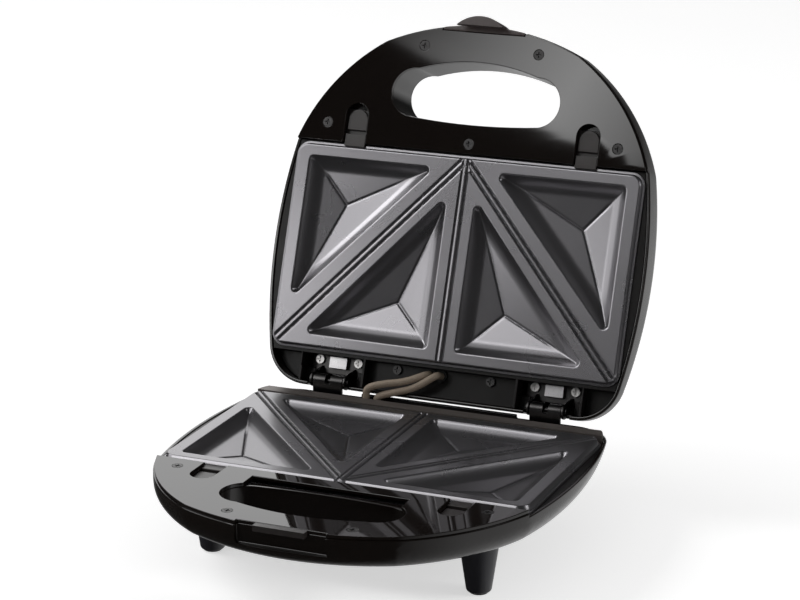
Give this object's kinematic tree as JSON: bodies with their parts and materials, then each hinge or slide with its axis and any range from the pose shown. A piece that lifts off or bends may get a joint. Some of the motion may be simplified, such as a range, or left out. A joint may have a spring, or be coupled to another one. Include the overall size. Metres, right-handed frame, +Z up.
{
  "type": "sandwich toaster",
  "caption": "Countertop sandwich toaster standing open, with pocketed non-stick plates, latch, plate clips and handle openings in both halves.",
  "frame": {"origin": "on the table, under the middle of the box round the open toaster", "axes": "+X to the right across the toaster, +Y to the back, +Z up; the front of the base faces -Y"},
  "size_m": [0.2378, 0.321, 0.2767],
  "materials": {
    "casing": "moulded gloss black phenolic with a warm brown cast",
    "panel": "polished black panel",
    "frame": "moulded black with a fine grain",
    "non_stick": "satin dark grey non-stick coating on cast aluminium",
    "tray_sheet": "bright sheet",
    "element_steel": "heat-tinted tube",
    "ceramic_bead": "unglazed",
    "clip_plastic": "satin black",
    "latch_plastic": "semi-gloss brown-black",
    "black_screw": "blackened steel",
    "zinc_steel": "zinc plated",
    "hinge_steel": "bright zinc plated",
    "spring_steel": "plain spring steel",
    "cover_sheet": "dull sheet, brown-grey from the heat",
    "foot_plastic": "satin blue-black",
    "foot_rubber": "matt",
    "lead_sleeve": "braided glass-fibre sleeve, beige-brown",
    "green_lens": "clear green",
    "red_lens": "clear red",
    "lamp_glass": "clear"
  },
  "bodies": {
    "base": {"base_shell": "casing", "base_panel": "panel", "base_frame": "frame", "base_plate": "non_stick", "base_heat_tray": "tray_sheet", "base_element": "element_steel", "base_element_insulators": "ceramic_bead", "base_panel_screws": "black_screw", "base_tray_screws": "zinc_steel", "base_frame_screws": "black_screw", "catch_bar": "clip_plastic", "feet": "foot_plastic", "foot_pads": "foot_rubber", "foot_screws": "zinc_steel", "hinge_leaf_left": "hinge_steel", "hinge_leaf_right": "hinge_steel", "hinge_leaf_screws": "hinge_steel", "hinge_pins": "hinge_steel", "thermostat": "ceramic_bead", "thermal_fuse": "lead_sleeve", "lead_inlet": "foot_rubber", "lead_bush_base": "foot_rubber", "joining_lead": "lead_sleeve", "trough_cover": "cover_sheet"},
    "lid": {"lid_shell": "casing", "lid_panel": "panel", "lid_frame": "frame", "lid_plate": "non_stick", "lid_heat_tray": "tray_sheet", "lid_element": "element_steel", "lid_element_insulators": "ceramic_bead", "lid_panel_screws": "black_screw", "lid_tray_screws": "zinc_steel", "lid_frame_screws": "black_screw", "hinge_bracket_left": "hinge_steel", "hinge_bracket_right": "hinge_steel", "hinge_bracket_screws": "hinge_steel", "latch_pin": "zinc_steel", "latch_spring": "spring_steel", "lamp_lens_green": "green_lens", "lamp_lens_red": "red_lens", "lamps": "lamp_glass", "lamp_holder": "frame", "lead_bush_lid": "foot_rubber"},
    "latch": {"latch": "latch_plastic"},
    "base_clip_left": {"base_clip_left": "clip_plastic"},
    "base_clip_right": {"base_clip_right": "clip_plastic"},
    "lid_clip_left": {"lid_clip_left": "clip_plastic"},
    "lid_clip_right": {"lid_clip_right": "clip_plastic"}
  },
  "joints": [
    {"name": "lid_hinge", "type": "hinge", "parent": "base", "child": "lid", "pos_m": [0, 0.0613, 0.0597], "axis": [1, 0, 0], "range_deg": [0, 110.6], "deforming": ["joining_lead"]},
    {"name": "latch_pivot", "type": "hinge", "parent": "lid", "child": "latch", "pos_m": [0, 0.14322, 0.26116], "axis": [-1, 0, 0], "range_deg": [0, 18], "stiffness_Nm_per_rad": 0.05, "springref_deg": -11.46, "deforming": ["latch_spring"]},
    {"name": "base_clip_left_slide", "type": "slide", "parent": "base", "child": "base_clip_left", "axis": [0, -1, 0], "range_m": [0, 0.0025], "stiffness_N_per_m": 400, "springref_m": -0.002},
    {"name": "base_clip_right_slide", "type": "slide", "parent": "base", "child": "base_clip_right", "axis": [0, -1, 0], "range_m": [0, 0.0025], "stiffness_N_per_m": 400, "springref_m": -0.002},
    {"name": "lid_clip_left_slide", "type": "slide", "parent": "lid", "child": "lid_clip_left", "axis": [0, 0.3518, 0.9361], "range_m": [0, 0.0025], "stiffness_N_per_m": 400, "springref_m": -0.002},
    {"name": "lid_clip_right_slide", "type": "slide", "parent": "lid", "child": "lid_clip_right", "axis": [0, 0.3518, 0.9361], "range_m": [0, 0.0025], "stiffness_N_per_m": 400, "springref_m": -0.002}
  ]
}
